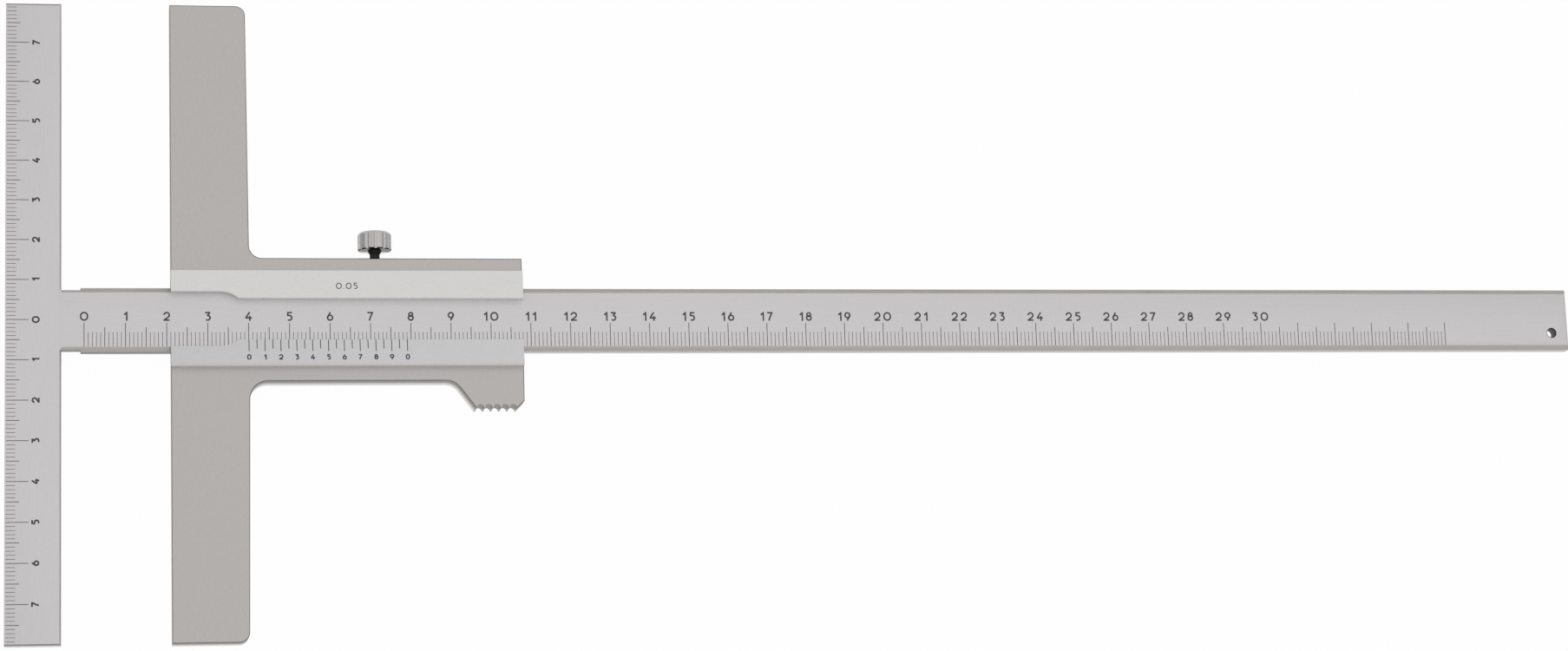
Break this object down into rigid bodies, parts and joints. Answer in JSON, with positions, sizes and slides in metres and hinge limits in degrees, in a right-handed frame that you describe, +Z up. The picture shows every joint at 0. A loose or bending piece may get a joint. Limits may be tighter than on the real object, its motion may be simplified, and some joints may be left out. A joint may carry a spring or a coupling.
{
  "type": "marking caliper",
  "caption": "Vernier marking caliper: a slider with a long bridge runs on a graduated beam towards a graduated crossbar and is clamped by a fluted screw.",
  "frame": {"origin": "under the middle of the whole length and width, on the plane of the slider's back, on which the caliper lies", "axes": "+X along the beam from the crossbar to the free end, +Y across it towards the lock screw, +Z up out of the graduated faces"},
  "size_m": [0.403, 0.16, 0.0086],
  "materials": {
    "scale_steel": "satin ground stainless steel",
    "slider_steel": "matt blasted plate with a brighter ground band",
    "screw_steel": "turned steel",
    "spring_steel": "blued spring steel",
    "brass": "plain machined brass",
    "black_steel": "blackened steel",
    "knob_chrome": "satin chromed, fluted"
  },
  "bodies": {
    "beam": {"beam": "scale_steel", "crossbar": "scale_steel", "crossbar_screws": "screw_steel"},
    "slider": {"slider_body": "slider_steel", "brake_strip": "brass", "leaf_spring": "spring_steel"},
    "pad": {"pressure_pad": "brass"},
    "lock_screw": {"lock_stud": "black_steel", "lock_knob": "knob_chrome"}
  },
  "joints": [
    {"name": "slider_slide", "type": "slide", "parent": "beam", "child": "slider", "axis": [1, 0, 0], "range_m": [-0.0264, 0.26]},
    {"name": "pad_travel", "type": "slide", "parent": "slider", "child": "pad", "axis": [0, 1, 0], "range_m": [0, 0.0009]},
    {"name": "lock_screw_turn", "type": "hinge", "parent": "pad", "child": "lock_screw", "pos_m": [-0.1111, 0.0177, 0.00445], "axis": [0, 1, 0], "range_deg": [0, 720]}
  ],
  "couplings": [
    {"joint": "lock_screw_turn", "follows": "pad_travel", "rad_per_m": 13963}
  ]
}
